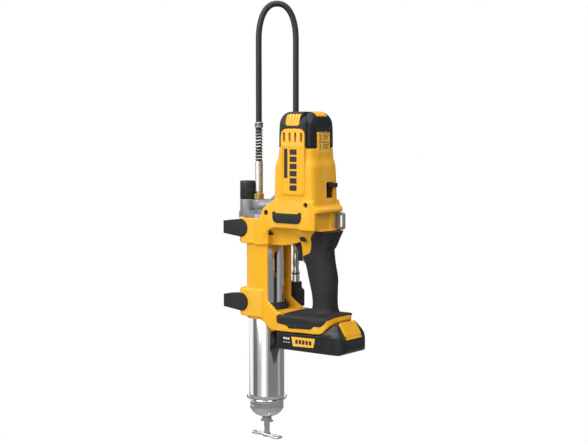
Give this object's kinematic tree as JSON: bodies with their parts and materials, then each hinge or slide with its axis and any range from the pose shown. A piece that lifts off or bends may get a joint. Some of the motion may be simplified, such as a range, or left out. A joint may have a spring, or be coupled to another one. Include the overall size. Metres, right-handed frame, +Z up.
{
  "type": "cordless grease gun",
  "caption": "Battery-powered grease gun: pistol grip, motor and pump head over a steel barrel, and a flexible hose looped to a docked coupler.",
  "frame": {"origin": "middle of the pistol grip, on the tool's middle plane", "axes": "+Z up along the barrel towards the hose, +X from the barrel back to the grip, +Y to the tool's right, the side with the docked coupler"},
  "size_m": [0.237, 0.0901, 0.7081],
  "materials": {
    "housing_yellow": "satin moulded nylon, fine spark-eroded texture",
    "soft_rubber": "matt overmoulded elastomer",
    "black_plastic": "satin moulded nylon",
    "polished_steel": "polished plated steel",
    "spring_wire": "drawn wire, plated",
    "machined_steel": "turned steel",
    "cast_head": "die cast, lightly blasted",
    "brass": "machined",
    "hose_rubber": "smooth black hose cover",
    "motor_metal": "rolled can",
    "cell_wrap": "shrink wrap"
  },
  "bodies": {
    "tool": {"housing_left": "housing_yellow", "housing_right": "housing_yellow", "cap_vent_insert_left": "housing_yellow", "cap_vent_insert_right": "housing_yellow", "cap_vent_insert_rear": "housing_yellow", "side_pad_left": "soft_rubber", "side_pad_right": "soft_rubber", "grip_cover_left": "soft_rubber", "grip_cover_right": "soft_rubber", "foot_upper_left": "soft_rubber", "foot_upper_right": "soft_rubber", "foot_lower_left": "soft_rubber", "foot_lower_right": "soft_rubber", "barrel_collar": "soft_rubber", "coupler_dock": "soft_rubber", "motor_end_cap": "black_plastic", "relief_valve_cap": "black_plastic", "switch_module": "black_plastic", "terminal_block": "black_plastic", "spring_guard": "spring_wire", "screw_gear_housing": "machined_steel", "screw_plinth_upper": "machined_steel", "screw_plinth_lower": "machined_steel", "screw_foot": "machined_steel", "screw_pump_head_left": "machined_steel", "screw_pump_head_right": "machined_steel", "guard_ferrule": "machined_steel", "hose_ferrule": "machined_steel", "coupler_body": "machined_steel", "coupler_collar": "machined_steel", "pump_head": "cast_head", "gearbox": "cast_head", "hose_fitting": "brass", "grease_hose": "hose_rubber", "motor": "motor_metal"},
    "barrel": {"barrel_tube": "polished_steel", "cap_flange": "polished_steel", "end_cap": "polished_steel", "rod_lock": "machined_steel", "follower_spring": "spring_wire"},
    "follower": {"follower_rod": "polished_steel", "tee_handle": "polished_steel", "follower_plate": "machined_steel", "follower_cup": "soft_rubber"},
    "battery": {"battery_case": "black_plastic", "battery_cell_1": "cell_wrap", "battery_cell_2": "cell_wrap", "battery_cell_3": "cell_wrap", "battery_cell_4": "cell_wrap", "battery_cell_5": "cell_wrap"},
    "battery_release": {"battery_release": "housing_yellow"},
    "gauge_button": {"gauge_button": "soft_rubber"},
    "trigger": {"trigger": "black_plastic"},
    "lock_off": {"lock_off_button": "black_plastic"},
    "speed_selector": {"speed_selector": "black_plastic"},
    "strap_ring": {"strap_ring": "cast_head"},
    "rotor": {"motor_shaft": "machined_steel", "cooling_fan": "black_plastic"},
    "cam": {"drive_cam": "machined_steel"},
    "plunger": {"plunger": "machined_steel"}
  },
  "joints": [
    {"name": "trigger_pull", "type": "slide", "parent": "tool", "child": "trigger", "axis": [1, 0, 0], "range_m": [0, 0.008], "stiffness_N_per_m": 1500, "springref_m": -0.002},
    {"name": "lock_off_push", "type": "slide", "parent": "tool", "child": "lock_off", "axis": [0, 1, 0], "range_m": [0, 0.0045]},
    {"name": "speed_select", "type": "slide", "parent": "tool", "child": "speed_selector", "axis": [0, 0, -1], "range_m": [0, 0.013]},
    {"name": "battery_slide", "type": "slide", "parent": "tool", "child": "battery", "axis": [1, 0, 0], "range_m": [0, 0.1]},
    {"name": "release_press", "type": "slide", "parent": "battery", "child": "battery_release", "axis": [-0.8619, 0, -0.507], "range_m": [0, 0.002], "stiffness_N_per_m": 5000, "springref_m": -0.001},
    {"name": "gauge_press", "type": "slide", "parent": "battery", "child": "gauge_button", "axis": [0, 1, 0], "range_m": [0, 0.001], "stiffness_N_per_m": 3000, "springref_m": -0.0005},
    {"name": "barrel_off", "type": "slide", "parent": "tool", "child": "barrel", "axis": [0, 0, -1], "range_m": [0, 0.3]},
    {"name": "rod_pull", "type": "slide", "parent": "barrel", "child": "follower", "axis": [0, 0, -1], "range_m": [0, 0.2], "stiffness_N_per_m": 300, "springref_m": -0.1, "deforming": ["follower_spring"]},
    {"name": "strap_ring_swing", "type": "hinge", "parent": "tool", "child": "strap_ring", "pos_m": [0.0125, 0.017, 0.093], "axis": [0, 0, 1], "range_deg": [-20, 20]},
    {"name": "motor_spin", "type": "hinge", "parent": "tool", "child": "rotor", "pos_m": [-0.034, 0, 0.236], "axis": [0, 0, 1], "continuous": true},
    {"name": "cam_turn", "type": "hinge", "parent": "tool", "child": "cam", "pos_m": [-0.034, 0, 0.112], "axis": [0, 0, 1], "continuous": true},
    {"name": "plunger_stroke", "type": "slide", "parent": "tool", "child": "plunger", "axis": [1, 0, 0], "range_m": [0, 0.009]}
  ],
  "couplings": [
    {"joint": "cam_turn", "follows": "motor_spin", "ratio": 0.04}
  ]
}
